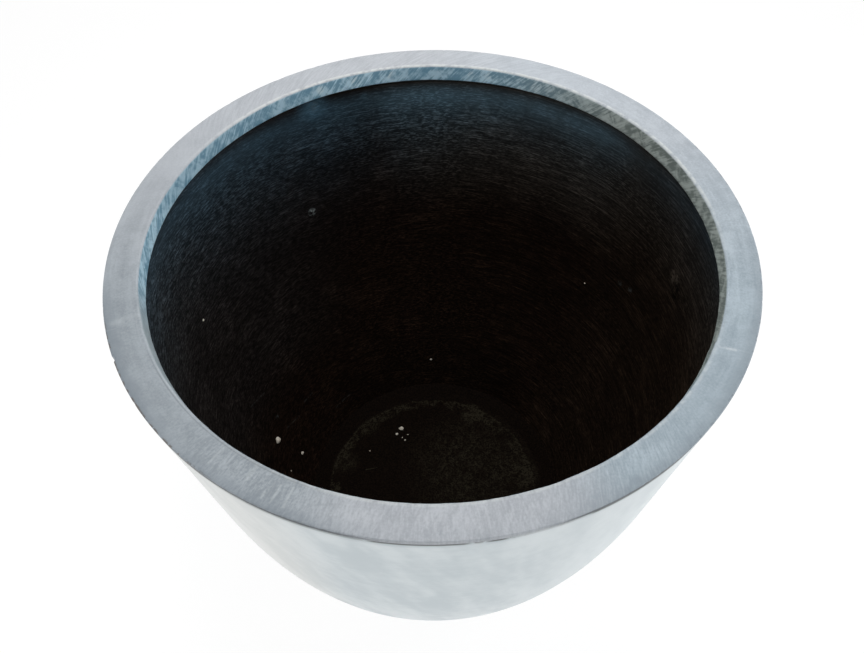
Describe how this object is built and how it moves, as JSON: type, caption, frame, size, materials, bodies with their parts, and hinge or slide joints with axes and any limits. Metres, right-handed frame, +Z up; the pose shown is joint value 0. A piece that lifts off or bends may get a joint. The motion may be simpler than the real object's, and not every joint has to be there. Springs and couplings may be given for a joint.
{
  "type": "fibreglass planter",
  "caption": "Round tapered floor planter in lead-grey fibreglass, open at the top, with a bellied foot, a flat sanded rim with an inner lip and a black brushed inside.",
  "frame": {"origin": "middle of the foot, on the surface that the planter stands on", "axes": "+Z up along the planter's axis of revolution; the picture looks from -Y down into the planter; +X is to the right"},
  "size_m": [0.6, 0.6, 0.5],
  "materials": {
    "wall_finish": "lead-grey pigmented laminate, satin",
    "rim_finish": "grey pigmented laminate, sanded",
    "joint_filler": "pale resin filler, sanded flush",
    "adhesive": "dark adhesive paste",
    "black_coat": "black brushed sealing coat over glass mat",
    "dusty_coat": "dark sealing coat with dust",
    "bonding_paste": "lumpy resin paste, dusty",
    "raw_laminate": "bare glass-fibre laminate",
    "packing": "light resin filler, hidden"
  },
  "bodies": {
    "root": {"outer_shell": "wall_finish", "base_plate": "raw_laminate", "floor_bead": "bonding_paste", "floor_coating": "dusty_coat", "wall_coating": "black_coat", "rim_core": "packing", "rim_bond_line": "adhesive", "front_rim_segment": "rim_finish", "right_rim_segment": "rim_finish", "left_rim_segment": "rim_finish", "right_rim_joint": "joint_filler", "back_rim_joint": "joint_filler", "left_rim_joint": "joint_filler"}
  },
  "joints": []
}
